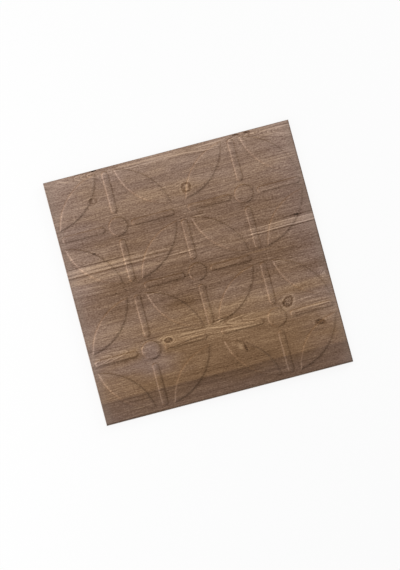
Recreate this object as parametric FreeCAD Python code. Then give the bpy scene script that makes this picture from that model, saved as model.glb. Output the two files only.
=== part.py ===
# Square decorative wall tile, pressed in one piece, lying face up.
# The face carries a low relief of overlapping rings: four ring rosettes stand round a slightly
# smaller centre rosette. Each rosette has a disc and four round-ended bars, and a pointed leaf
# fills every overlap of two rings. The back is flat, for adhesive.
# Millimetres. Origin at the middle of the back, +Z out of the face, +X and +Y along the edges.

import FreeCAD, Part
import math
import os

from FreeCAD import Vector

# Board
tile_side = 400.0            # the square, edge to edge
board_thickness = 8.0        # plain board under the relief
edge_bevel = 1.0             # bevel round the outer edge of the face
edge_margin = 5.0            # plain border between the tile's edge and the nearest ring

# Relief section, from the foot line of a figure inwards and up to its flat top
relief_height = 2.5          # how far every figure stands out of the face
foot_run = 0.7               # width of the low slope where a figure leaves the face
foot_rise = 0.4              # height of that slope
flank_run = 1.0              # width of the steep flank, which takes the height that is left
shoulder_run = 0.8           # width of the slope that turns the flank into the top
shoulder_drop = 0.5          # how far that slope begins under the top

# Figures, measured over their foot lines
leaf_width = 36.5            # across the middle of a leaf, where two rings overlap most
ring_step = 4.0              # how much smaller the centre ring is than the four others
disc_diameter = 31.5         # discs of the four rosettes
centre_disc_diameter = 30.0  # disc of the centre rosette
bar_width = 11.5             # across a bar
bar_gap = 5.2                # from a disc to the end of each bar round it
bar_setback = 1.0            # from the far end of a bar to its rosette's ring

# The rings touch the border and overlap by one leaf width. Both conditions together give the
# distance of a rosette from the tile's centre lines and the two ring radii.
diagonal = math.sqrt(2.0)
rosette_offset = (tile_side / 2 - edge_margin - (leaf_width + ring_step) / 2) / (1 + diagonal / 2)
ring_radius = tile_side / 2 - edge_margin - rosette_offset
centre_ring_radius = ring_radius - ring_step
ring_spacing = rosette_offset * diagonal

face_level = board_thickness
top_level = board_thickness + relief_height
figure_root = board_thickness / 2    # figures start inside the board, so that they fuse with it

# The section's corners: how far inside the foot line, and at what height
section = [
    (0.0, face_level),
    (foot_run, face_level + foot_rise),
    (foot_run + flank_run, top_level - shoulder_drop),
    (foot_run + flank_run + shoulder_run, top_level),
]

axis_up = Vector(0, 0, 1)
quarter_turns = [90.0 * turn for turn in range(4)]


def turned(figure, angle, place):
    """A copy of the figure, turned about +Z and moved to its place."""
    copy = figure.copy()
    copy.Placement = FreeCAD.Placement(place, FreeCAD.Rotation(axis_up, angle))
    return copy


def polygon_face(points):
    return Part.Face(Part.makePolygon(points + points[:1]))


def rim(radius):
    """The relief's section as corners (distance from the middle, height), from its root to its top."""
    return [(radius, figure_root)] + [(radius - inset, height) for inset, height in section]


def plug(radius):
    """A turned solid with the relief's section round its rim. Its seam is on the +X side."""
    outline = [(0.0, figure_root)] + rim(radius) + [(0.0, top_level)]
    half_section = polygon_face([Vector(x, 0, z) for x, z in outline])
    return half_section.revolve(Vector(0, 0, 0), axis_up, 360)


def leaf():
    """The overlap of a ring at the origin with the next, smaller ring on +X, seams outside it."""
    ring = turned(plug(ring_radius), 180, Vector(0, 0, 0))
    next_ring = turned(plug(centre_ring_radius), 0, Vector(ring_spacing, 0, 0))
    return ring.common(next_ring)


def bar(start, end):
    """A round-ended bar along +X, from start to end measured from its rosette's centre."""
    half = bar_width / 2
    near = start + half
    far = end - half
    right = rim(half)
    left = [(-y, z) for y, z in reversed(right)]
    across = polygon_face([Vector(near, y, z) for y, z in right + left])
    straight = across.extrude(Vector(far - near, 0, 0))
    near_end = turned(plug(half), 0, Vector(near, 0, 0))
    far_end = turned(plug(half), 180, Vector(far, 0, 0))
    return straight.fuse([near_end, far_end]).removeSplitter()


def rosette(place, diameter, radius):
    """A disc with its four bars. The bars end just inside the rosette's ring."""
    disc = plug(diameter / 2)
    arm = bar(diameter / 2 + bar_gap, radius - bar_setback)
    return [turned(disc, 0, place)] + [turned(arm, angle, place) for angle in quarter_turns]


def relief():
    """Every figure of the face, as separate solids."""
    offsets = (-rosette_offset, rosette_offset)
    places = [Vector(x, y, 0) for x in offsets for y in offsets]
    figures = rosette(Vector(0, 0, 0), centre_disc_diameter, centre_ring_radius)
    one_leaf = leaf()
    for place in places:
        figures += rosette(place, disc_diameter, ring_radius)
        figures += [turned(one_leaf, 45.0 + angle, place) for angle in quarter_turns]
    return figures


def board():
    """The plain board with the outer edge of its face bevelled."""
    corner = Vector(-tile_side / 2, -tile_side / 2, 0)
    slab = Part.makeBox(tile_side, tile_side, board_thickness, corner)
    face = max(slab.Faces, key=lambda side: side.CenterOfMass.z)
    return slab.makeChamfer(edge_bevel, face.Edges)


tile = board().fuse(relief()).removeSplitter().Solids[0]
os.makedirs("parts", exist_ok=True)
tile.exportStep("parts/wall_tile.step")
print("valid", tile.isValid(), "faces", len(tile.Faces), "volume cm3", round(tile.Volume / 1000, 1))
print("rosette offset", round(rosette_offset, 2), "ring radius", round(ring_radius, 2))
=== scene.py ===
"""Looks of the ring relief wall tile: its pressed wood-grain face, its board edges and back, and the stage.

The tile lies face up on a pale floor, and the camera looks down on it. Lengths are metres. The drawing of
the wood is laid out in millimetres, +X along the grain.
"""

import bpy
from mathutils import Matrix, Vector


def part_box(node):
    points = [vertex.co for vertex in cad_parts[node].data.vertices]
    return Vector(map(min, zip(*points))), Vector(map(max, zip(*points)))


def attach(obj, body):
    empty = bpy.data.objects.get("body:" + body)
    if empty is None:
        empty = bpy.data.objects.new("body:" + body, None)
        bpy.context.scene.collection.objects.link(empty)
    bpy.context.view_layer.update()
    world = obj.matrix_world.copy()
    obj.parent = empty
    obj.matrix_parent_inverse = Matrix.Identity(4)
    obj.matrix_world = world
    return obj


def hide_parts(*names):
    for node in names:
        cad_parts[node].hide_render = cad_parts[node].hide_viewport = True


bl_info = {
    "name": "Ring Relief Wall Tile",
    "version": (1, 0, 0),
    "blender": (4, 5, 0),
    "location": "View3D > Sidebar > Wall Tile",
    "description": "Builds the pressed wood-grain wall tile and the stage that it lies on",
    "category": "Add Mesh",
}

import math
from collections import namedtuple

import bpy
import numpy as np
from mathutils import Matrix, Vector
from mathutils.geometry import delaunay_2d_cdt

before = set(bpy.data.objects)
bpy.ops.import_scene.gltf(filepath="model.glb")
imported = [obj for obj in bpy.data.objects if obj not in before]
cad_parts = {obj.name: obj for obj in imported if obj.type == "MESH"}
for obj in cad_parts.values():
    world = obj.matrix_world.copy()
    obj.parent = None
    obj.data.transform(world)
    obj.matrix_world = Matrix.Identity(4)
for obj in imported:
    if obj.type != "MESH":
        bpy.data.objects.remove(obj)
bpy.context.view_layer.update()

TILE_NODE = "wall_tile"
TILE_LOW, TILE_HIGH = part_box(TILE_NODE)
MM = 0.001


class TileSizes(bpy.types.PropertyGroup):
    """Sizes of the tile and its relief, as in the solid model."""

    side: bpy.props.FloatProperty(
        name="Side", description="Edge to edge of the square tile",
        default=TILE_HIGH.x - TILE_LOW.x, unit="LENGTH")
    thickness: bpy.props.FloatProperty(
        name="Thickness", description="From the back to the top of the relief",
        default=TILE_HIGH.z - TILE_LOW.z, unit="LENGTH")
    relief_height: bpy.props.FloatProperty(
        name="Relief height", description="How far every figure stands out of the face",
        default=2.5 * MM, unit="LENGTH")
    flank_run: bpy.props.FloatProperty(
        name="Flank width", description="From a figure's foot line in to its flat top",
        default=2.5 * MM, unit="LENGTH")
    leaf_flank_run: bpy.props.FloatProperty(
        name="Leaf flank width", description="From a leaf's foot line in to its flat top",
        default=2.8 * MM, unit="LENGTH")
    edge_bevel: bpy.props.FloatProperty(
        name="Edge bevel", description="Bevel round the outer edge of the face",
        default=1.0 * MM, unit="LENGTH")
    edge_margin: bpy.props.FloatProperty(
        name="Border", description="Plain border between the edge and the nearest ring",
        default=5.0 * MM, unit="LENGTH")
    leaf_width: bpy.props.FloatProperty(
        name="Leaf width", description="Across a leaf, where two rings overlap most",
        default=36.5 * MM, unit="LENGTH")
    ring_step: bpy.props.FloatProperty(
        name="Ring step", description="How much smaller the centre ring is than the others",
        default=4.0 * MM, unit="LENGTH")
    disc_diameter: bpy.props.FloatProperty(
        name="Disc", description="Diameter of the discs of the four rosettes",
        default=31.5 * MM, unit="LENGTH")
    centre_disc_diameter: bpy.props.FloatProperty(
        name="Centre disc", description="Diameter of the centre rosette's disc",
        default=30.0 * MM, unit="LENGTH")
    bar_width: bpy.props.FloatProperty(
        name="Bar width", description="Across a round-ended bar",
        default=11.5 * MM, unit="LENGTH")
    bar_gap: bpy.props.FloatProperty(
        name="Bar gap", description="From a disc to the bars round it",
        default=5.2 * MM, unit="LENGTH")
    bar_setback: bpy.props.FloatProperty(
        name="Bar setback", description="From the far end of a bar to its rosette's ring",
        default=1.0 * MM, unit="LENGTH")


class WoodColours(bpy.types.PropertyGroup):
    """Colours of the wood-grain face and of the bare board."""

    knot: bpy.props.FloatVectorProperty(
        name="Knot", description="Blackest spots of the knots",
        default=(0.034, 0.016, 0.007), subtype="COLOR")
    cool_dark: bpy.props.FloatVectorProperty(
        name="Cool dark", description="Dark lines of the purple-brown wood",
        default=(0.107, 0.055, 0.031), subtype="COLOR")
    cool_mid: bpy.props.FloatVectorProperty(
        name="Cool middle", description="Purple-brown wood",
        default=(0.232, 0.148, 0.113), subtype="COLOR")
    cool_pale: bpy.props.FloatVectorProperty(
        name="Cool pale", description="Palest lines of the purple-brown wood",
        default=(0.510, 0.368, 0.288), subtype="COLOR")
    warm_dark: bpy.props.FloatVectorProperty(
        name="Warm dark", description="Dark lines of the olive-brown wood",
        default=(0.107, 0.050, 0.017), subtype="COLOR")
    warm_mid: bpy.props.FloatVectorProperty(
        name="Warm middle", description="Olive-brown wood",
        default=(0.230, 0.130, 0.066), subtype="COLOR")
    warm_pale: bpy.props.FloatVectorProperty(
        name="Warm pale", description="Palest lines of the olive-brown wood",
        default=(0.560, 0.374, 0.217), subtype="COLOR")
    lower_stain: bpy.props.FloatVectorProperty(
        name="Lower stain", description="Multiplies the colours of the darker board along the lower edge",
        default=(0.72, 0.70, 0.71), subtype="COLOR")
    # painted sheen: the face turns towards this grey along its left and right edges
    edge_sheen: bpy.props.FloatVectorProperty(
        name="Edge sheen", description="Greyed wood along the left and right edges of the face",
        default=(0.250, 0.190, 0.150), subtype="COLOR")
    board: bpy.props.FloatVectorProperty(
        name="Board", description="Bare fibre board of the edges and back",
        default=(0.170, 0.108, 0.066), subtype="COLOR")


class StageSettings(bpy.types.PropertyGroup):
    """Camera, lamps and floor."""

    lens: bpy.props.FloatProperty(
        name="Lens", description="Focal length in millimetres", default=561.8)
    distance: bpy.props.FloatProperty(
        name="Camera distance", description="From the camera to the point it aims at",
        default=14.0, unit="LENGTH")
    tilt: bpy.props.FloatProperty(
        name="Camera tilt", description="How far the view leans from straight down",
        default=math.radians(10.29), subtype="ANGLE")
    lean: bpy.props.FloatProperty(
        name="Lean direction", description="Where the camera stands, turned from -Y towards -X",
        default=math.radians(9.67), subtype="ANGLE")
    roll: bpy.props.FloatProperty(
        name="Camera roll", description="How far the picture's top is turned from +Y towards +X",
        default=math.radians(14.95), subtype="ANGLE")
    aim: bpy.props.FloatVectorProperty(
        name="Aim", description="The point in the middle of the picture",
        default=(-0.0018, -0.0211, 0.007), subtype="XYZ", unit="LENGTH")
    key_power: bpy.props.FloatProperty(
        name="Key lamp", description="Power of the low lamp at the left in watts", default=58.0)
    side_power: bpy.props.FloatProperty(
        name="Side lamp", description="Power of the low lamp at the right in watts", default=12.5)
    ambient: bpy.props.FloatProperty(
        name="Ambient light", description="Strength of the even light all round", default=0.61)
    floor_colour: bpy.props.FloatVectorProperty(
        name="Floor", description="Colour of the pale floor",
        default=(0.93, 0.93, 0.93), subtype="COLOR")


# Relief: each figure knows how deep inside its outline a point lies, and its outline moved inwards.


class Figure:
    """One raised figure of the relief, drawn along its own +X and turned into its place."""

    crease_shade = 1.0  # how much painted shade darkens its crease

    def __init__(self, place, angle, flank):
        self.flank = flank
        self.place = np.array(place)
        cos, sin = math.cos(angle), math.sin(angle)
        self.turn = np.array([[cos, -sin], [sin, cos]])

    def depth(self, points):
        """How far each point lies inside the outline, less than zero outside."""
        return self.own_depth((points - self.place) @ self.turn)

    def loops(self, steps):
        """The outline, moved inwards in even steps over the flank, as an array (step, point, xy)."""
        insets = np.linspace(0, self.flank, steps)
        return self.own_loops(insets[:, None]) @ self.turn.T + self.place


class Leaf(Figure):
    """The overlap of a ring round the origin and a smaller ring round the next place on +X."""

    arc_points = 96
    crease_shade = 0.8

    def __init__(self, place, angle, flank, ring, next_ring, spacing):
        super().__init__(place, angle, flank)
        self.ring = ring
        self.next_ring = next_ring
        self.spacing = spacing

    def own_depth(self, points):
        """The lesser of the distances inside the two rings."""
        inside_ring = self.ring - np.hypot(points[:, 0], points[:, 1])
        inside_next = self.next_ring - np.hypot(points[:, 0] - self.spacing, points[:, 1])
        return np.minimum(inside_ring, inside_next)

    def own_loops(self, insets):
        """An arc of each ring between the two points where the shrunken rings cross."""
        ring = self.ring - insets
        next_ring = self.next_ring - insets
        tip_x = (self.spacing ** 2 + ring ** 2 - next_ring ** 2) / (2 * self.spacing)
        tip_y = np.sqrt(ring ** 2 - tip_x ** 2)
        share = np.linspace(-1, 1, self.arc_points, endpoint=False)[None, :]
        angle = share * np.arctan2(tip_y, tip_x)
        next_angle = math.pi + share * np.arctan2(tip_y, self.spacing - tip_x)
        x = np.hstack([ring * np.cos(angle), self.spacing + next_ring * np.cos(next_angle)])
        y = np.hstack([ring * np.sin(angle), next_ring * np.sin(next_angle)])
        return np.stack([x, y], axis=2)


class Bar(Figure):
    """A round-ended bar on +X, from start to end."""

    end_points = 14
    side_points = 18

    def __init__(self, place, angle, flank, start, end, width):
        super().__init__(place, angle, flank)
        self.half = width / 2
        self.near = start + self.half
        self.far = end - self.half

    def own_depth(self, points):
        """Half the width less the distance from the bar's middle line."""
        along = np.clip(points[:, 0], self.near, self.far)
        return self.half - np.hypot(points[:, 0] - along, points[:, 1])

    def own_loops(self, insets):
        """Half circles round both ends of the middle line, joined by straight sides."""
        radius = self.half - insets
        turn = np.linspace(-0.5, 0.5, self.end_points)[None, :] * math.pi
        side = np.linspace(0, 1, self.side_points + 2)[None, 1:-1]
        to_near = self.far + (self.near - self.far) * side
        to_far = self.near + (self.far - self.near) * side
        level = np.ones_like(radius)
        x = np.hstack([self.far + radius * np.cos(turn), level * to_near,
                       self.near - radius * np.cos(turn), level * to_far])
        y = np.hstack([radius * np.sin(turn), radius * np.ones_like(side),
                       -radius * np.sin(turn), -radius * np.ones_like(side)])
        return np.stack([x, y], axis=2)


class Disc(Figure):
    """A round disc."""

    rim_points = 72

    def __init__(self, place, flank, diameter):
        super().__init__(place, 0.0, flank)
        self.radius = diameter / 2

    def own_depth(self, points):
        """The radius less the distance from the middle."""
        return self.radius - np.hypot(points[:, 0], points[:, 1])

    def own_loops(self, insets):
        """Circles of the radius less each inset."""
        radius = self.radius - insets
        turn = np.linspace(0, 2 * math.pi, self.rim_points, endpoint=False)[None, :]
        return np.stack([radius * np.cos(turn), radius * np.sin(turn)], axis=2)


def relief_figures(sizes):
    """Every figure of the face. The rings touch the border and overlap by one leaf width."""
    reach = sizes.side / 2 - sizes.edge_margin
    offset = (reach - (sizes.leaf_width + sizes.ring_step) / 2) / (1 + math.sqrt(0.5))
    ring = reach - offset
    centre_ring = ring - sizes.ring_step
    spacing = offset * math.sqrt(2)
    quarters = [math.pi / 2 * turn for turn in range(4)]
    rosettes = [((0.0, 0.0), sizes.centre_disc_diameter, centre_ring)]
    rosettes += [((x, y), sizes.disc_diameter, ring) for x in (-offset, offset) for y in (-offset, offset)]
    flank, leaf_flank = sizes.flank_run, sizes.leaf_flank_run
    figures = []
    for place, diameter, radius in rosettes:
        start = diameter / 2 + sizes.bar_gap
        end = radius - sizes.bar_setback
        figures.append(Disc(place, flank, diameter))
        figures += [Bar(place, angle, flank, start, end, sizes.bar_width) for angle in quarters]
    for place, _, radius in rosettes[1:]:
        figures += [Leaf(place, math.pi / 4 + angle, leaf_flank, radius, centre_ring, spacing)
                    for angle in quarters]
    return figures


# Mesh of the whole tile

SECTION_STEPS = 8  # points across a flank
FILL_ALONG = 4.0 * MM  # spacing of the plain ground's points along the grain
FILL_ACROSS = 1.6 * MM  # and across it
FILL_CLEAR = 0.7 * MM  # ground points stay this far from the flanks
BACK_ARRIS = 0.4 * MM  # worn edge round the back
WAVE_HEIGHT = 0.05 * MM  # height of the soft waves of the brushed grain
WAVE_PITCHES = (6.5 * MM, 9.7 * MM, 14.3 * MM)
WAVE_DRIFTS = (0.30, -0.22, 0.16)  # how far each wave wanders, in pitches
WAVE_RADIAN = 70.0 * MM  # length along the grain in which that wandering turns by one radian
WAVE_FADE = 6.0 * MM  # the waves fade out over this width along the edge
MERGE_LENGTH = 1e-9  # points closer than this would be one point
SHARP_ANGLE = math.radians(40)  # faces that meet at more than this keep a sharp edge
FACE_SLOT, BOARD_SLOT = 0, 1
DEPTH_NAME = "relief_depth"  # attribute with each point's depth inside the relief in millimetres
CREASE_SHADE_NAME = "painted_crease_shade"  # attribute with the share of painted shade in the nearest crease
CREASE_SHADE_LEAST = 0.1  # share of the painted shade in the crease under a figure
CREASE_SHADE_STEP = 0.1 * MM  # the depth is compared this far below and above a point
MAP_NAME = "OFBake"
FACE_MAP = ((0.005, 0.005), (0.745, 0.995))  # lower and upper corner of the face's area of the map
BACK_MAP = ((0.755, 0.250), (0.995, 0.995))
EDGE_MAP = ((0.755, 0.005), (0.995, 0.240))
STRIP_MARGIN = 0.1  # empty border of each strip in the edge's area, as a share of its width


def square_loop(half, step):
    """Corners and edge points of a square, anticlockwise from its lower left corner."""
    count = round(2 * half / step)
    along = np.linspace(-half, half, count, endpoint=False)
    across = np.full(count, half)
    sides = [(along, -across), (across, along), (-along, across), (-across, -along)]
    return np.vstack([np.stack(side, axis=1) for side in sides])


def loop_edges(count, first):
    """Pairs of neighbours round a closed loop of points."""
    index = np.arange(count)
    return np.stack([index, (index + 1) % count], axis=1) + first


def triangulated(points, edges):
    """Triangles over all the points that keep the given edges."""
    found = delaunay_2d_cdt(points.tolist(), edges.tolist(), [], 0, MERGE_LENGTH, False)
    vertices, _, triangles = found[:3]
    if len(vertices) != len(points):
        raise RuntimeError("the outlines of the relief meet or cross")
    return np.array(triangles)


def depths_in(figures, points):
    """Depth of every point inside every figure, as an array (figure, point)."""
    return np.array([figure.depth(points) for figure in figures])


def relief_at(figures, points):
    """Each point's depth inside its nearest figure, less than zero on the ground, and that figure's flank."""
    depths = depths_in(figures, points)
    flanks = np.array([figure.flank for figure in figures])
    return depths.max(axis=0), flanks[depths.argmax(axis=0)]


def crease_shade_at(figures, points):
    """How much painted shade darkens the crease of the nearest figure.

    The painted shade grows with the share of +Y in the direction in which the depth falls, so it is darkest
    above each figure: least under a figure, about half at its sides, all of it above.
    """
    nearest = depths_in(figures, points).argmax(axis=0)
    step = np.array([0, CREASE_SHADE_STEP])
    below, above = [depths_in(figures, points + move).max(axis=0) for move in (-step, step)]
    upward = np.clip(0.5 + (below - above) / (4 * CREASE_SHADE_STEP), 0, 1)
    held = np.array([figure.crease_shade for figure in figures])[nearest]
    return held * (CREASE_SHADE_LEAST + (1 - CREASE_SHADE_LEAST) * upward)


def grain_waves(points, half):
    """Soft waves across the grain: sines of y that drift slowly along x, fading to nothing at the edge."""
    x, y = points.T
    edge = np.clip((half - np.abs(points).max(axis=1)) / WAVE_FADE, 0, 1)
    waves = sum(np.sin(2 * math.pi * (y / pitch + drift * np.sin(x / WAVE_RADIAN)))
                for pitch, drift in zip(WAVE_PITCHES, WAVE_DRIFTS))
    return WAVE_HEIGHT * edge * waves / len(WAVE_PITCHES)


def face_sheet(sizes, figures, border):
    """The relief as one sheet: points (x, y, z) and triangles. The first points are the border's.

    The height of a point is the relief height times a smooth step of its depth inside a figure over
    the flank's width, so every flank is an S that starts level on the ground and ends level on top.
    """
    outlines = [loop for figure in figures for loop in figure.loops(SECTION_STEPS)]
    counts = [len(loop) for loop in outlines]
    half = sizes.side / 2 - sizes.edge_bevel
    along = np.arange(-half + FILL_ALONG, half - FILL_ALONG / 2, FILL_ALONG)
    across = np.arange(-half + FILL_ACROSS, half - FILL_ACROSS / 2, FILL_ACROSS)
    fill = np.stack(np.meshgrid(along, across), axis=2).reshape(-1, 2)
    depth, flank = relief_at(figures, fill)
    fill = fill[(depth < -FILL_CLEAR) | (depth > flank + FILL_CLEAR)]
    flat = np.vstack([border, *outlines, fill])
    firsts = np.cumsum([len(border)] + counts[:-1])
    edges = np.vstack([loop_edges(len(border), 0)]
                      + [loop_edges(count, first) for count, first in zip(counts, firsts)])
    triangles = triangulated(flat, edges)
    depth, flank = relief_at(figures, flat)
    share = np.clip(depth / flank, 0, 1)
    rise = sizes.relief_height * share * share * (3 - 2 * share)
    ground = sizes.thickness - sizes.relief_height
    height = ground + rise + grain_waves(flat, half) * (1 - share)
    return np.column_stack([flat, height]), triangles


def wall_strip(count, lower, upper):
    """Quads between two loops of points, the lower one's and the upper one's first index given."""
    index = np.arange(count)
    after = (index + 1) % count
    return np.stack([lower + index, lower + after, upper + after, upper + index], axis=1)


def map_from_above(corners, half, area):
    """Map places of face corners: x and y as shares of the tile's side, fitted into an area of the map."""
    low, high = np.array(area)
    return low + (high - low) * (corners[..., :2] / (2 * half) + 0.5)


def map_round_edge(corners, half, height, area):
    """Map places of the edge's quads. Each side of the tile is one of four strips in an area of the map.

    A strip's length runs along the side, and its width is the height.
    """
    low, high = np.array(area)
    x, y, z = np.moveaxis(corners, 2, 0)
    side = np.arange(len(corners))[:, None] * 4 // len(corners)
    along = np.choose(side, [x, y, -x, -y]) / (2 * half) + 0.5
    up = (side + STRIP_MARGIN + (1 - 2 * STRIP_MARGIN) * z / height) / 4
    return low + (high - low) * np.stack([along, up], axis=2)


def tile_mesh(sizes, figures):
    """Face, bevel, edges and back of the tile as one closed mesh, with its map and point values.

    Square loops of equal point counts, one above the other, carry the edge's profile round the tile.
    """
    half = sizes.side / 2
    ground = sizes.thickness - sizes.relief_height
    border = square_loop(half - sizes.edge_bevel, FILL_ALONG)
    count = len(border)
    face, face_triangles = face_sheet(sizes, figures, border)
    profile = [(half, ground - sizes.edge_bevel), (half, BACK_ARRIS), (half - BACK_ARRIS, 0.0)]
    unit = border / (half - sizes.edge_bevel)
    rims = [np.column_stack([unit * reach, np.full(count, level)]) for reach, level in profile]
    firsts = len(face) + count * np.arange(len(profile))
    bevel = wall_strip(count, firsts[0], 0)
    walls = [wall_strip(count, firsts[step + 1], firsts[step]) for step in range(len(profile) - 1)]
    back = triangulated(rims[-1][:, :2], loop_edges(count, 0))[:, ::-1] + firsts[-1]
    points = np.vstack([face] + rims)
    depth, _ = relief_at(figures, points[:, :2])
    # painted shade for the creases of the relief
    crease_shade = crease_shade_at(figures, points[:, :2])
    groups = [(faces, FACE_SLOT, map_from_above(points[faces], half, FACE_MAP))
              for faces in (face_triangles, bevel)]
    groups += [(wall, BOARD_SLOT, map_round_edge(points[wall], half, ground, EDGE_MAP)) for wall in walls]
    groups.append((back, BOARD_SLOT, map_from_above(points[back], half, BACK_MAP)))
    return points, groups, {DEPTH_NAME: depth / MM, CREASE_SHADE_NAME: crease_shade}


def make_mesh(name, points, groups, values):
    """A mesh from points, groups of (faces, material slot, map places) and named values of the points."""
    mesh = bpy.data.meshes.new(name)
    mesh.from_pydata(points.tolist(), [], [face for faces, _, _ in groups for face in faces.tolist()])
    slots = np.concatenate([np.full(len(faces), slot, np.int32) for faces, slot, _ in groups])
    places = np.concatenate([corners.ravel() for _, _, corners in groups])
    mesh.polygons.foreach_set("material_index", slots)
    mesh.polygons.foreach_set("use_smooth", np.ones(len(slots), bool))
    mesh.set_sharp_from_angle(angle=SHARP_ANGLE)
    mesh.uv_layers.new(name=MAP_NAME).data.foreach_set("uv", places)
    for value_name, value in values.items():
        mesh.attributes.new(value_name, "FLOAT", "POINT").data.foreach_set("value", value)
    mesh.update()
    return mesh


# Shader maths


class Tree:
    """A material's nodes."""

    def __init__(self, name):
        self.material = bpy.data.materials.new(name)
        self.material.use_nodes = True
        self.nodes = self.material.node_tree.nodes
        self.links = self.material.node_tree.links
        self.nodes.clear()

    def node(self, kind, settings=None, inputs=None, output=0):
        """Adds a node, sets its settings and then its sockets, and returns one of its outputs."""
        made = self.nodes.new(kind)
        for name, value in (settings or {}).items():
            setattr(made, name, value)
        for socket, value in (inputs or {}).items():
            if isinstance(value, Field):
                self.links.new(value.socket, made.inputs[socket])
            else:
                made.inputs[socket].default_value = value
        return Field(self, made.outputs[output]) if made.outputs else None

    def math(self, operation, *values):
        return self.node("ShaderNodeMath", {"operation": operation}, dict(enumerate(values)))

    def fade(self, value, start, end):
        """0 at start, 1 at end and a smooth step between them, whichever is larger."""
        settings = {"interpolation_type": "SMOOTHSTEP", "clamp": False}
        return self.node("ShaderNodeMapRange", settings, {"Value": value, "From Min": start, "From Max": end})

    def noise(self, x, y, seed, detail=2.0):
        """Noise about 0, from -0.5 to 0.5, over two numbers. Seeds that differ give noise that differs."""
        place = self.node("ShaderNodeCombineXYZ", None, {"X": x, "Y": y, "Z": seed})
        inputs = {"Vector": place, "Scale": 1.0, "Detail": detail}
        return self.node("ShaderNodeTexNoise", None, inputs) - 0.5

    def mix(self, factor, first, second, blend="MIX"):
        """A colour between two colours."""
        settings = {"data_type": "RGBA", "blend_type": blend}
        return self.node("ShaderNodeMix", settings, {0: factor, 6: first, 7: second}, output=2)

    def ramp(self, value, positions, shades):
        """A colour from a ramp that has these shades at these positions."""
        colour = self.node("ShaderNodeValToRGB", None, {"Fac": value})
        stops = colour.socket.node.color_ramp.elements
        for _ in range(len(positions) - len(stops)):
            stops.new(1.0)
        for stop, position, shade in zip(stops, positions, shades):
            stop.position = position
            stop.color = (*shade, 1.0)
        return colour

    def bump(self, height, strength, distance):
        """A surface direction bent by small heights."""
        inputs = {"Strength": strength, "Distance": distance, "Height": height}
        return self.node("ShaderNodeBump", None, inputs)

    def place_mm(self):
        """x, y and z of the point in the tile's own frame, in millimetres."""
        place = self.node("ShaderNodeTexCoord", output="Object")
        parts = self.node("ShaderNodeSeparateXYZ", None, {"Vector": place}).socket.node.outputs
        return [Field(self, part) / MM for part in parts]

    def finish(self, inputs):
        """The surface: a Principled shader with these sockets."""
        shader = self.node("ShaderNodeBsdfPrincipled", None, inputs)
        self.node("ShaderNodeOutputMaterial", None, {"Surface": shader})
        return self.material


class Field:
    """A number or colour that varies over the surface. Arithmetic on it adds Math nodes."""

    def __init__(self, tree, socket):
        self.tree = tree
        self.socket = socket

    def __add__(self, other):
        return self.tree.math("ADD", self, other)

    def __sub__(self, other):
        return self.tree.math("SUBTRACT", self, other)

    def __rsub__(self, other):
        return self.tree.math("SUBTRACT", other, self)

    def __mul__(self, other):
        return self.tree.math("MULTIPLY", self, other)

    def __truediv__(self, other):
        return self.tree.math("DIVIDE", self, other)

    def __abs__(self):
        return self.tree.math("ABSOLUTE", self)


# Drawing of the wood, in millimetres from the middle of the tile. Light is added to the tone, where 0 is the
# black of a knot, 0.5 plain wood and 1 the palest line. Warm is added to the warmth, from 0 for purple brown
# to 1 for olive brown. A pair named an edge says where a mark begins and where it is full. A streak runs from
# (left, start) to (right, end).

Layer = namedtuple("Layer", "along across seed light warm height", defaults=(0.0, 0.0, 0.0))
Fibre = namedtuple("Fibre", "along across thick seed detail light")
Mark = namedtuple("Mark", "edge light warm", defaults=(0.0,))
Streak = namedtuple("Streak", "left start right end half light warm", defaults=(0.0,))
Tongue = namedtuple("Tongue", "x y side bend tilt length light")
Knot = namedtuple("Knot", "place size turn core rim rings halo", defaults=(0.0, 0, 0.0))

# Broad bands. Those across the whole tile begin and end far outside it, so that they keep their width.
BANDS = (
    Streak(-800, 200, 800, 200, 120, 0.12, -0.28),
    Streak(-800, 194, 800, 192, 10, 0.06, 0.05),
    Streak(-800, 160, 800, 158, 18, -0.04),
    Streak(-800, 142, 800, 140, 15, 0.05, 0.05),
    Streak(-120, 140, 90, 134, 17, 0, 0.25),
    Streak(-800, 88, 800, 86, 16, -0.05, -0.05),
    Streak(-800, 4, 800, 0, 24, -0.13, 0.1),
    Streak(-800, -26, 800, -24, 18, -0.08, 0.05),
    Streak(-800, -62, 800, -64, 16, 0.06, 0.12),
    Streak(-800, -95, 800, -95, 17, 0.1, 0.12),
    Streak(-800, -140, 800, -142, 64, -0.06, 0.5),
    Streak(-190, -121, -30, -124, 17, 0.04, -0.8),
    Streak(-130, -102.4, -75, -102.4, 22, -0.05, -0.9),
    Streak(4, 102.5, 90, 101.5, 8, -0.12, 0.1),
    Streak(120, 20, 330, 20, 190, 0, -0.25),
    Streak(-800, -198, 800, -198, 48, -0.05),
)

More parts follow.
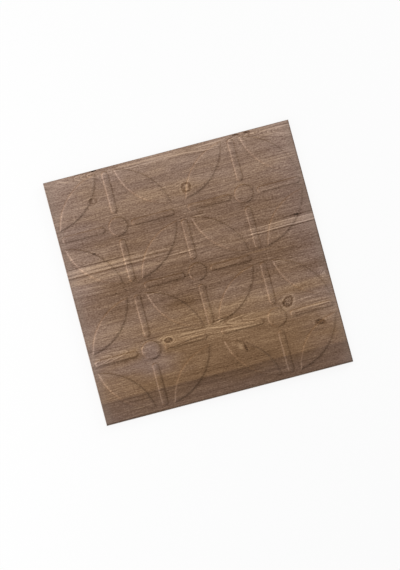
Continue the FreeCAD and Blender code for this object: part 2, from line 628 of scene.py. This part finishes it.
# Soft patches where the wood is lighter or darker, warmer or cooler than its band
PATCHES = (
    Streak(-330, 0, -170, 0, 300, 0.08, -0.2),
    Streak(-290, 70, -40, 68, 12, 0.05, -0.05),
    Streak(-290, 8, -110, 6, 22, 0.1, -0.15),
    Streak(-10, 4, 90, 3, 12, 0.07, 0.15),
    Streak(-90, -42, 20, -42, 20, -0.14, 0.25),
    Streak(-10, -104, 80, -108, 22, 0.08, 0.2),
    Streak(120, -122, 300, -122, 32, 0.08),
    Streak(-300, -124, -110, -126, 28, 0.07, -0.1),
    Streak(-150, -136, -50, -136, 14, 0.06, -0.5),
    Streak(-100, -156, 140, -156, 17, -0.09, 0.15),
    Streak(-100, -173, 110, -173, 10, -0.1),
    Streak(60, 60, 330, 60, 28, -0.06),
    Streak(110, -40, 340, -40, 22, -0.15, 0.15),
    Streak(-300, 102, -60, 102, 26, 0, -0.3),
    Streak(-150, -92, 150, -92, 62, 0, 0.45),
    Streak(-300, -104, -140, -104, 40, 0, -0.3),
    Streak(-190, -184, -60, -184, 14, 0.05),
    Streak(-300, 158, -110, 158, 16, -0.07, -0.1),
    Streak(-100, 158, 300, 158, 14, -0.03),
    Streak(-90, 19, 20, 19, 12, -0.09),
    Streak(-300, 20, -110, 20, 11, 0.08, -0.1),
    Streak(120, 19, 320, 19, 11, -0.07),
    Streak(60, -66, 320, -66, 18, -0.03, 0.35),
    Streak(50, 48, 150, 48, 12, -0.06),
    Streak(-280, 152, -90, 152, 40, 0.02, 0.1),
)

# Single streaks and lines along the grain. Those that run off the tile end well outside it.
STREAKS = (
    # Pale strip along the upper edge
    Streak(-106, 194.7, 50, 194, 2.2, 0.34, 0.15),
    Streak(-100, 191.8, -10, 191.6, 0.9, -0.2),
    Streak(-134, 189.6, 40, 190, 1.2, 0.32),
    Streak(-120, 187.5, -6, 187.9, 1.3, -0.14),
    Streak(-50, 193, 60, 189.2, 1.1, 0.36),
    Streak(10, 191.6, 100, 183.2, 1.1, 0.36),
    Streak(-10, 188, 104, 182.8, 1.1, -0.12),
    Streak(26, 192.2, 114, 197.4, 1.2, 0.42),
    Streak(44, 193.2, 108, 184, 1, 0.26),
    Streak(-184, 198.2, -156, 188, 1.6, 0.3, 0.1),
    Streak(-260, 206, -150, 184.5, 1.2, 0.26),
    Streak(-260, 200, -158, 182, 1.1, -0.22),
    Streak(-260, 196, -160, 179, 1.1, 0.2),
    Streak(-250, 190.5, -166, 177, 1, -0.16),
    # Faint streaks right of the upper middle
    Streak(66, 151.4, 300, 151, 1.1, 0.18),
    Streak(72, 146.8, 300, 145.2, 1.3, 0.17),
    Streak(80, 142.4, 300, 141.4, 1.1, 0.15),
    # Pale heart left of the middle
    Streak(-340, 55.8, -40, 55.4, 1.1, 0.17),
    Streak(-340, 53.8, -30, 54, 1.1, -0.22),
    Streak(-380, 49.4, 60, 47.6, 4.6, 0.32, 0.1),
    Streak(-138, 46, -16, 45.4, 1.3, -0.26, 0.3),
    Streak(-340, 43, 50, 41.4, 2.2, 0.36, 0.1),
    Streak(-330, 39.5, 20, 38.6, 1.3, -0.27, 0.3),
    Streak(-64, 36.7, 28, 36.5, 1.1, 0.44),
    Streak(-64, 34.3, 28, 34.4, 1, -0.22),
    Streak(-340, 31, 20, 30, 7.5, 0.19, 0.12),
    Streak(-320, 9.4, -96, 10, 1.2, 0.12),
    Streak(-320, 5, -116, 5.4, 1.2, -0.12),
    # Pale lines right of the middle
    Streak(60, 48.8, 340, 49.2, 1.5, -0.18),
    Streak(40, 44.8, 340, 43, 1.1, 0.44),
    Streak(40, 40.8, 340, 40.4, 3.4, 0.2, 0.1),
    Streak(10, 36.8, 360, 35.8, 1.2, 0.54),
    Streak(20, 34.2, 350, 33.2, 1.1, -0.34),
    Streak(82, 44.2, 126, 44, 1.1, 0.26),
    Streak(82, 36.6, 126, 36.4, 1.1, 0.26),
    Streak(92, 31.2, 260, 29.4, 1.1, 0.12),
    Streak(96, 28.4, 260, 27, 1.1, -0.08),
    # Short pale lines by four of the leaves
    Streak(10, 87, 40, 87, 0.9, 0.34),
    Streak(70, 13.6, 92, 11.6, 1.2, 0.18),
    Streak(60, 8.5, 140, 7.5, 3, 0.1, 0.3),
    Streak(-92, -15.8, -58, -15.8, 1, 0.5),
    Streak(114, -15.8, 146, -15.8, 1, 0.5),
    # Figured band in the lower half, from left to right
    Streak(-250, -76.5, -112, -86.8, 1.1, -0.26),
    Streak(-144, -87.6, -64, -82.8, 1.1, -0.3),
    Streak(-72, -79.6, -26, -82.2, 1.1, -0.26),
    Streak(-92, -91.8, -72, -86.6, 1.1, 0.26),
    Streak(-70, -100.8, -55, -97.6, 1.1, 0.24),
    Streak(-84, -78.4, -40, -79.2, 0.9, 0.16),
    Streak(-172, -108.4, -122, -105.6, 1.1, -0.13),
    Streak(-132, -107, -112, -102.4, 1, -0.18),
    Streak(-76, -82.6, -26, -83.2, 0.9, 0.16),
    Streak(-70, -84, 0, -90, 1.1, -0.28),
    Streak(-72, -88.6, -14, -91.6, 1.3, 0.22),
    Streak(-66, -93.6, 2, -92.8, 1, -0.28),
    Streak(-40, -90, 0, -91.6, 1, 0.24),
    Streak(-62, -97.4, 0, -98.4, 1.8, 0.3),
    Streak(-84, -106.6, -62, -106.8, 1.2, -0.14),
    Streak(-74, -107.4, -40, -102.6, 1.1, -0.26),
    Streak(-62, -104, 2, -99.2, 1.1, -0.34),
    Streak(-60, -105.6, -4, -102.4, 0.8, 0.16),
    Streak(-66, -107.8, 0, -105, 1.2, -0.13),
    Streak(-20, -87.4, 22, -96.4, 1, 0.26),
    Streak(-26, -90.8, 90, -101, 1.2, 0.38),
    Streak(-20, -94.4, 86, -104.6, 1, -0.28),
    Streak(-26, -99.6, 88, -105.8, 1, 0.26),
    Streak(-24, -101.6, 88, -108.6, 1.2, -0.18),
    Streak(-14, -85.5, 44, -79.9, 1.1, -0.34),
    Streak(-16, -88, 32, -83, 1.1, 0.26),
    Streak(14, -85, 52, -85.2, 0.9, -0.2),
    Streak(136, -80, 172, -80, 0.9, -0.18),
    Streak(138, -83.1, 174, -82.6, 1.2, 0.36),
    Streak(140, -85, 204, -88.4, 1, -0.24),
    Streak(134, -89.6, 200, -90.4, 1, 0.16),
    Streak(132, -93.2, 220, -93.2, 1, -0.22),
    Streak(116, -98.2, 210, -98.6, 2, 0.38),
    Streak(118, -100.8, 160, -102, 1, 0.2),
    Streak(162, -101.9, 200, -100.6, 1.1, -0.34),
    Streak(114, -102.4, 190, -106.6, 1.1, -0.34),
    # Dark strip along the lower edge
    Streak(-500, -168.6, 500, -168.8, 1.1, -0.12),
    Streak(-80, -172.6, 100, -172.8, 0.9, 0.12),
    Streak(-300, -175, 60, -175.4, 1, -0.1),
    Streak(-50, -177.4, 120, -177.6, 0.9, 0.12),
    Streak(-60, -181, 300, -181, 1.1, -0.1),
    Streak(-300, -186, 140, -186.6, 1.2, 0.08),
    Streak(-200, -190.4, 260, -190, 1.2, -0.08),
)

# Growth lines that turn back at a tip. The side is where the arms point, 1 for +X. The tilt is the rise of
# the middle line towards the arms.
TONGUES = (
    Tongue(-150.6, 193.8, 1, 0.48, -0.15, 16, 0.28),
    Tongue(-140.2, 193.4, 1, 0.48, -0.15, 15, 0.22),
    Tongue(-130.2, 193.3, 1, 0.55, -0.1, 20, 0.3),
    Tongue(100, 190, 1, 0.75, 0, 15, 0.34),
    Tongue(115.6, 188.9, 1, 0.45, 0, 10, 0.22),
    Tongue(124.4, 189.6, 1, 0.45, 0, 9, 0.18),
    Tongue(149.5, 189.8, 1, 0.55, -0.12, 60, 0.22),
    Tongue(156, 189.2, 1, 0.55, -0.12, 60, 0.22),
    Tongue(163.5, 188.6, 1, 0.55, -0.1, 54, 0.22),
    Tongue(172, 188, 1, 0.55, -0.1, 46, 0.22),
    Tongue(-139.5, -94.8, -1, 0.66, -0.08, 50, 0.24),
    Tongue(-164.9, -96.4, -1, 0.5, -0.09, 34, 0.22),
    Tongue(-184.9, -96.6, -1, 0.5, -0.1, 26, 0.22),
    Tongue(24.8, -89.9, 1, 0.8, -0.05, 42, 0.23),
    Tongue(49.5, -90.3, 1, 0.66, -0.05, 34, 0.23),
)

# Knots and spots: the half axes, turned by an angle in degrees, the light of the core, how dark the rim is,
# how many rings lie inside it, and the light of the halo round it
KNOTS = (
    Knot((16.6, 136), (6.6, 6.8), 0, 0, 0.24, 0, 0.12),
    Knot((17.8, 136.2), (1.4, 4.6), -12, 0.13),
    Knot((14.2, 136), (1, 4.4), -10, -0.22),
    Knot((-136.8, 153), (5.4, 1.8), 38, -0.26),
    Knot((-130.6, 151.6), (5.4, 4.4), -20, -0.03, 0.11, 0, 0.06),
    Knot((-150.4, 69.4), (3.8, 1.4), -6, -0.52),
    Knot((-118, 198.4), (4.6, 1.6), 0, -0.6),
    Knot((113, 197.4), (7, 1.6), -4, -0.46),
    Knot((131, 197.2), (6.5, 1.6), -6, -0.52),
    Knot((139.5, 193.3), (5, 2.2), 0, 0.24, 0.2),
    Knot((29, 90.8), (2.6, 2.4), 0, 0.06, 0.16),
    Knot((172.5, 49.6), (6, 1.5), -6, -0.26, 0, 0, 0.06),
    Knot((-72, -93.8), (5.8, 3.9), -6, -0.17, 0.2, 3, 0.26),
    Knot((125.4, -82.3), (8.6, 6.2), 50, -0.06, 0.23, 3, 0.2),
    Knot((115, -85.4), (4.2, 2.6), 50, -0.04, 0.18),
    Knot((166.3, -126.3), (6.6, 3.6), -14, -0.21, 0.26),
    Knot((42.4, -136.4), (2.2, 9.4), 9, -0.27),
    Knot((34.8, -133), (3.8, 6.4), 30, 0.21),
    Knot((50, -141), (7, 6), -40, -0.09),
    Knot((190, -50), (6, 11), 0, 0.1, 0, 3),
    Knot((191.6, -52.4), (3.2, 2.4), 0, 0.22),
)

# Knots are measured from their middle in their own half axes.
KNOT_REACH = 3.0  # how far the drawing of a knot reaches
CORE_EDGE = (1.1, 0.6)
RIM_EDGE = (0.5, 0.1)  # distances from the knot's outline
RIM_WARM = 0.12
RING_LIGHT = 0.26
HALO_OUTER_EDGE = (2.0, 1.3)
HALO_INNER_EDGE = (1.0, 1.3)
RAGGED_DEPTH = 0.9  # how much the outlines of knots vary
PART_REACH = 3.5  # how far from a knot's middle the grain parts round it
PART_PULL = 0.7  # how much: 1 would clear a knot's middle of grain lines

STREAK_EDGE = (0.0, 0.85)  # nearness to a streak's middle, 0 on its outline
TONGUE_PALE = 0.2  # how far inside its parabola a tongue's pale line lies
TONGUE_DARK = -1.6  # and its dark line, which lies outside
TONGUE_EDGE = (1.1, 0.1)  # distances from the middle of such a line
TONGUE_SHADE = 0.45  # strength of the dark line as a share of the pale one
TONGUE_WHOLE = 0.4  # share of its length over which a tongue doesn't fade

# Layers of noise: how long the spots are along and across the grain, the seed, and how much of the layer is
# added to the tone, to the warmth and to the height of the emboss
DRIFT = Layer(150, 40, 3)  # slow bends of the grain
DRIFT_WIDTH = 4.0  # from side to side of a bend
RAGGED = Layer(3, 2.4, 7)  # outlines of knots
BROAD = Layer(120, 8, 11, 0.3)
MEDIUM = Layer(60, 2.2, 17, 0.58, 0.3, 0.5)
FINE = Layer(10, 1.2, 23, 0.64, 0, 0.6)
SAND = Layer(2.8, 1.5, 31, 0.92, 0, 0.6)
PORES = Layer(8, 0.8, 53, -0.16)
PORE_EDGE = (0.08, 0.24)
CLOUDS = Layer(60, 22, 41, 0, 0.7)
CALM_EDGE = (-50, -130)  # places on y between which the grain grows calmer
CALM_SHARE = 0.15  # by this share

# Marks that follow the form of the tile: painted sheen, painted shade and the print's darker lower board
SIDE_SHEEN = Mark((120, 205), 0.04, -0.35)  # painted sheen: lighter, greyer wood towards the left and right edges
SHADED_SIDE_BEVELS = Mark((197.2, 199), -0.28)  # painted shade on the bevels on the left and right
SHADED_END_BEVELS = Mark((198.4, 199.4), -0.18)  # painted shade on the bevels along the grain
CREASE_SHADE = Mark((1.2, 0.1), -0.15, 0.50)  # painted shade in the creases, by distance from its depth
CREASE_SHADE_DEPTH = 0.45  # depth inside a figure at which the painted shade is darkest
JOINT_EDGE = (-164.8, -166.8)  # below it lies a darker board of the printed wood
SHEEN_EDGE = (182, 200)  # painted sheen: greyed wood along the left and right edges
SHEEN_SHARE = 0.30
SHADE_TONES = (0.0, 0.16, 0.5, 1.0)  # tones of the knot, dark, middle and pale colours

FACE_ROUGHNESS, ROUGHNESS_SPREAD = 0.55, 0.2
EMBOSS_STRENGTH, EMBOSS_HEIGHT = 0.2, 0.3 * MM

# Fibres and specks of the bare board: their size along and across a diagonal and in the thickness
FIBRES = (Fibre(3.0, 2.2, 0.5, 5.0, 3.0, 0.9), Fibre(0.6, 0.6, 0.4, 9.0, 2.0, 0.5))
FIBRE_STRENGTH, FIBRE_HEIGHT = 0.3, 0.2 * MM
BOARD_TONES = (0.1, 0.5, 0.9)  # tones of the dark, plain and pale fibres
BOARD_SHADES = (0.55, 1.0, 1.5)  # their brightness as a share of the board's colour


class Wood:
    """Tone and warmth of printed wood over the face, added up feature by feature."""

    def __init__(self, tree):
        self.tree = tree
        self.x, self.y, _ = tree.place_mm()
        self.flat = tree.node("ShaderNodeCombineXYZ", None, {"X": self.x, "Y": self.y})
        self.grain = self.y + self.spots(DRIFT, self.y) * DRIFT_WIDTH
        for knot in KNOTS:
            if knot.halo:
                self.part_round(knot)
        self.grained = tree.node("ShaderNodeCombineXYZ", None, {"X": self.x, "Y": self.grain})
        self.ragged = self.spots(RAGGED, self.y) * RAGGED_DEPTH + KNOT_REACH
        self.tone = 0.5
        self.warmth = 0.5

    def spots(self, layer, across):
        """A layer of noise about 0, along x and across either y or the bent grain."""
        return self.tree.noise(self.x / layer.along, across / layer.across, layer.seed)

    def part_round(self, knot):
        """Grain lines part round a knot: near it, each line lies further from the knot's middle."""
        near = self.near(self.flat, knot.place, knot.size, reach=PART_REACH)
        pull = self.tree.fade(near, 0.0, 1.0) * (knot.place[1] - self.y)
        self.grain = self.tree.math("MULTIPLY_ADD", pull, PART_PULL, self.grain)

    def near(self, plane, place, size, turn=0.0, reach=1.0):
        """1 at a place, falling evenly to 0 on a turned ellipse whose half axes are size times reach."""
        inputs = {"Vector": plane, "Location": (*place, 0), "Rotation": (0, 0, math.radians(turn)),
                  "Scale": (size[0] * reach, size[1] * reach, 1)}
        local = self.tree.node("ShaderNodeMapping", {"vector_type": "TEXTURE"}, inputs)
        settings = {"gradient_type": "SPHERICAL"}
        return self.tree.node("ShaderNodeTexGradient", settings, {"Vector": local}, "Fac")

    def add(self, mask, light, warm=0.0):
        """Adds light to the tone and warm to the warmth where the mask is 1, and less where it is less."""
        if light:
            self.tone = self.tree.math("MULTIPLY_ADD", mask, light, self.tone)
        if warm:
            self.warmth = self.tree.math("MULTIPLY_ADD", mask, warm, self.warmth)

    def mark(self, value, mark):
        """A mark that fades in over a range of the value."""
        self.add(self.tree.fade(value, *mark.edge), mark.light, mark.warm)

    def streak(self, streak):
        """A long thin ellipse along the grain that fades out from its middle line."""
        left, start, right, end = streak[:4]
        middle = ((left + right) / 2, (start + end) / 2)
        turn = math.degrees(math.atan2(end - start, right - left))
        near = self.near(self.grained, middle, ((right - left) / 2, streak.half), turn)
        self.add(self.tree.fade(near, *STREAK_EDGE), streak.light, streak.warm)

    def tongue(self, tongue):
        """A parabola on its side, drawn as a pale line with a darker one outside it.

        Inside is how far a point lies inside the parabola: x beyond the tip less a bend times the square of
        the distance across, over the length of that expression's gradient.
        """
        tree = self.tree
        ahead = tree.math("MULTIPLY_ADD", self.x, float(tongue.side), -tongue.side * tongue.x)
        across = tree.math("MULTIPLY_ADD", ahead, -tongue.tilt, self.grain) - tongue.y
        square = across * across
        gradient = tree.math("SQRT", tree.math("MULTIPLY_ADD", square, 4 * tongue.bend ** 2, 1.0))
        inside = tree.math("MULTIPLY_ADD", square, -tongue.bend, ahead) / gradient
        pale, dark = [tree.fade(abs(inside - line), *TONGUE_EDGE) for line in (TONGUE_PALE, TONGUE_DARK)]
        window = tree.fade(ahead, tongue.length, tongue.length * TONGUE_WHOLE)
        self.add((pale - dark * TONGUE_SHADE) * window, tongue.light)

    def knot(self, knot):
        """A core, a dark rim, rings inside it and a pale halo outside, all with a ragged outline.

        Far is the distance from the knot's middle in units of its half axes.
        """
        tree = self.tree
        near = self.near(self.flat, knot.place, knot.size, knot.turn, KNOT_REACH)
        far = tree.math("MULTIPLY_ADD", near, -KNOT_REACH, self.ragged)
        core = tree.fade(far, *CORE_EDGE)
        self.add(core, knot.core)
        if knot.rim:
            self.add(tree.fade(abs(far - 1.0), *RIM_EDGE), -knot.rim, RIM_WARM)
        if knot.rings:
            self.add(tree.math("COSINE", far * (2 * math.pi * knot.rings)) * core, RING_LIGHT)
        if knot.halo:
            self.add(tree.fade(far, *HALO_OUTER_EDGE) * tree.fade(far, *HALO_INNER_EDGE), knot.halo)


def wood_face(colours):
    """Wood grain printed and pressed into the face, with a fine sandy emboss, painted shade and painted
    sheen.
    """
    tree = Tree("printed_wood")
    wood = Wood(tree)
    for feature in KNOTS:
        wood.knot(feature)
    for feature in TONGUES:
        wood.tongue(feature)
    for feature in BANDS + PATCHES + STREAKS:
        wood.streak(feature)
    x, y, grain = wood.x, wood.y, wood.grain
    # painted sheen towards the left and right edges
    wood.mark(abs(x), SIDE_SHEEN)
    # painted shade in the creases of the relief, strongest above each figure
    depth = tree.node("ShaderNodeAttribute", {"attribute_name": DEPTH_NAME}, output="Fac")
    crease_shade = tree.node("ShaderNodeAttribute", {"attribute_name": CREASE_SHADE_NAME}, output="Fac")
    wood.add(tree.fade(abs(depth - CREASE_SHADE_DEPTH), *CREASE_SHADE.edge) * crease_shade, CREASE_SHADE.light, CREASE_SHADE.warm)
    # painted shade on the bevels round the face
    wood.mark(abs(x), SHADED_SIDE_BEVELS)
    wood.mark(abs(y), SHADED_END_BEVELS)
    broad, medium, fine, sand = [wood.spots(layer, grain) for layer in (BROAD, MEDIUM, FINE, SAND)]
    pores = tree.fade(wood.spots(PORES, grain), *PORE_EDGE)
    clouds = wood.spots(CLOUDS, y)
    grain_tone = (broad * BROAD.light + medium * MEDIUM.light + fine * FINE.light + sand * SAND.light
                  + pores * PORES.light)
    tone = wood.tone + grain_tone * (1.0 - tree.fade(y, *CALM_EDGE) * CALM_SHARE)
    warmth = wood.warmth + clouds * CLOUDS.warm + medium * MEDIUM.warm
    shades = ((colours.knot, colours.cool_dark, colours.cool_mid, colours.cool_pale),
              (colours.knot, colours.warm_dark, colours.warm_mid, colours.warm_pale))
    cool, warm = [tree.ramp(tone, SHADE_TONES, row) for row in shades]
    print_colour = tree.mix(warmth, cool, warm)
    lower = tree.fade(grain, *JOINT_EDGE)
    print_colour = tree.mix(lower, print_colour, (*colours.lower_stain, 1.0), "MULTIPLY")
    # painted sheen along the left and right edges
    edge_sheen = tree.fade(abs(x), *SHEEN_EDGE) * SHEEN_SHARE
    height = fine * FINE.height + sand * SAND.height + medium * MEDIUM.height
    return tree.finish({
        "Base Color": tree.mix(edge_sheen, print_colour, (*colours.edge_sheen, 1.0)),
        "Roughness": fine * ROUGHNESS_SPREAD + FACE_ROUGHNESS,
        "Specular IOR Level": 0.25,
        "Normal": tree.bump(height, EMBOSS_STRENGTH, EMBOSS_HEIGHT),
    })


def bare_board(colours):
    """Pressed wood fibre of the edges and back: short fibres lying all ways."""
    tree = Tree("bare_board")
    x, y, z = tree.place_mm()
    tone = 0.5
    for fibre in FIBRES:
        across = (x - y) / fibre.across + z / fibre.thick
        tone = tree.noise((x + y) / fibre.along, across, fibre.seed, fibre.detail) * fibre.light + tone
    shades = [Vector(colours.board) * share for share in BOARD_SHADES]
    return tree.finish({
        "Base Color": tree.ramp(tone, BOARD_TONES, shades),
        "Roughness": 0.8,
        "Normal": tree.bump(tone, FIBRE_STRENGTH, FIBRE_HEIGHT),
    })


# Stage

WHITE = (1.0, 1.0, 1.0, 1.0)
FLOOR_HALF = 6.0  # half the floor's side
FLOOR_LEVEL = -0.3 * MM  # a hair under the back, so that the two don't share a plane
FLOOR_WHITE = 0.82  # share of plain white in the floor that the camera sees
LAMP_WIDTH = 0.8
KEY_PLACE = (-2.37, 0.24, 0.72)  # low on the left
SIDE_PLACE = (1.82, 1.19, 0.84)  # low on the right, towards the back


def lamp(name, place, power, shadows):
    """A square soft lamp that faces the tile."""
    light = bpy.data.lights.new(name, "AREA")
    light.energy = power
    light.size = LAMP_WIDTH
    light.use_shadow = shadows
    lamp_object = bpy.data.objects.new(name, light)
    lamp_object.location = place
    lamp_object.rotation_euler = (-Vector(place)).to_track_quat("-Z", "Y").to_euler()
    bpy.context.scene.collection.objects.link(lamp_object)


def floor_finish(colour):
    """A pale matt floor that looks white to the camera and still keeps the tile's shadow."""
    tree = Tree("floor")
    diffuse = tree.node("ShaderNodeBsdfDiffuse", None, {"Color": (*colour, 1.0)})
    white = tree.node("ShaderNodeEmission", None, {"Color": WHITE, "Strength": 1.0})
    path = tree.node("ShaderNodeLightPath").socket.node.outputs
    seen = 0.0
    for ray in ("Is Camera Ray", "Is Glossy Ray", "Is Transmission Ray"):
        seen = tree.math("MAXIMUM", Field(tree, path[ray]), seen)
    shader = tree.node("ShaderNodeMixShader", None, {0: seen * FLOOR_WHITE, 1: diffuse, 2: white})
    tree.node("ShaderNodeOutputMaterial", None, {"Surface": shader})
    return tree.material


class WALLTILE_OT_tile(bpy.types.Operator):
    """Build the pressed tile with its relief, and give it its wood-grain and board finishes"""

    bl_idname = "walltile.tile"
    bl_label = "Tile"

    def execute(self, context):
        sizes = context.scene.walltile_sizes
        colours = context.scene.walltile_colours
        mesh = make_mesh("pressed_tile", *tile_mesh(sizes, relief_figures(sizes)))
        mesh.materials.append(wood_face(colours))
        mesh.materials.append(bare_board(colours))
        tile = bpy.data.objects.new("pressed_tile", mesh)
        context.scene.collection.objects.link(tile)
        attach(tile, "root")
        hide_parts(TILE_NODE)
        return {"FINISHED"}


class WALLTILE_OT_stage(bpy.types.Operator):
    """Set up the floor, the lamps, the even light and the camera"""

    bl_idname = "walltile.stage"
    bl_label = "Stage"

    def execute(self, context):
        stage = context.scene.walltile_stage
        self.make_floor(context.scene, stage)
        lamp("key_lamp", KEY_PLACE, stage.key_power, shadows=False)
        lamp("side_lamp", SIDE_PLACE, stage.side_power, shadows=True)
        world = bpy.data.worlds.new("even_light")
        world.use_nodes = True
        background = world.node_tree.nodes["Background"]
        background.inputs["Color"].default_value = WHITE
        background.inputs["Strength"].default_value = stage.ambient
        context.scene.world = world
        context.scene.view_settings.view_transform = "Standard"
        self.make_camera(context.scene, stage)
        return {"FINISHED"}

    @staticmethod
    def make_floor(scene, stage):
        corners = [(x, y, FLOOR_LEVEL) for x, y in square_loop(FLOOR_HALF, 2 * FLOOR_HALF)]
        mesh = bpy.data.meshes.new("floor")
        mesh.from_pydata(corners, [], [(0, 1, 2, 3)])
        mesh.materials.append(floor_finish(stage.floor_colour))
        floor = bpy.data.objects.new("floor", mesh)
        scene.collection.objects.link(floor)

    @staticmethod
    def make_camera(scene, stage):
        """The camera leans from straight above the aim towards -Y, and is rolled about its own axis."""
        back = Vector((-math.sin(stage.tilt) * math.sin(stage.lean),
                       -math.sin(stage.tilt) * math.cos(stage.lean), math.cos(stage.tilt)))
        level_up = (Vector((0, 1, 0)) - back * back.y).normalized()
        level_right = level_up.cross(back)
        up = level_up * math.cos(stage.roll) + level_right * math.sin(stage.roll)
        right = up.cross(back)
        data = bpy.data.cameras.new("camera")
        data.lens = stage.lens
        camera = bpy.data.objects.new("camera", data)
        turn = Matrix((right, up, back)).transposed().to_4x4()
        camera.matrix_world = Matrix.Translation(Vector(stage.aim) + back * stage.distance) @ turn
        scene.collection.objects.link(camera)
        scene.camera = camera


class WALLTILE_PT_panel(bpy.types.Panel):
    """Sizes, colours and steps of the wall tile"""

    bl_idname = "WALLTILE_PT_panel"
    bl_label = "Wall Tile"
    bl_space_type = "VIEW_3D"
    bl_region_type = "UI"
    bl_category = "Wall Tile"

    def draw(self, context):
        for group_name in GROUPS:
            group = getattr(context.scene, group_name)
            box = self.layout.box()
            for name in group.__annotations__:
                box.prop(group, name)
        for operator in OPERATORS:
            self.layout.operator(operator.bl_idname)


OPERATORS = (WALLTILE_OT_tile, WALLTILE_OT_stage)
GROUPS = {"walltile_sizes": TileSizes, "walltile_colours": WoodColours, "walltile_stage": StageSettings}
CLASSES = (*GROUPS.values(), *OPERATORS, WALLTILE_PT_panel)


def register():
    for kind in CLASSES:
        bpy.utils.register_class(kind)
    for name, group in GROUPS.items():
        setattr(bpy.types.Scene, name, bpy.props.PointerProperty(type=group))


def unregister():
    for name in GROUPS:
        delattr(bpy.types.Scene, name)
    for kind in reversed(CLASSES):
        bpy.utils.unregister_class(kind)


def main():
    register()
    bpy.ops.walltile.tile()
    bpy.ops.walltile.stage()


if __name__ == "__main__":
    main()
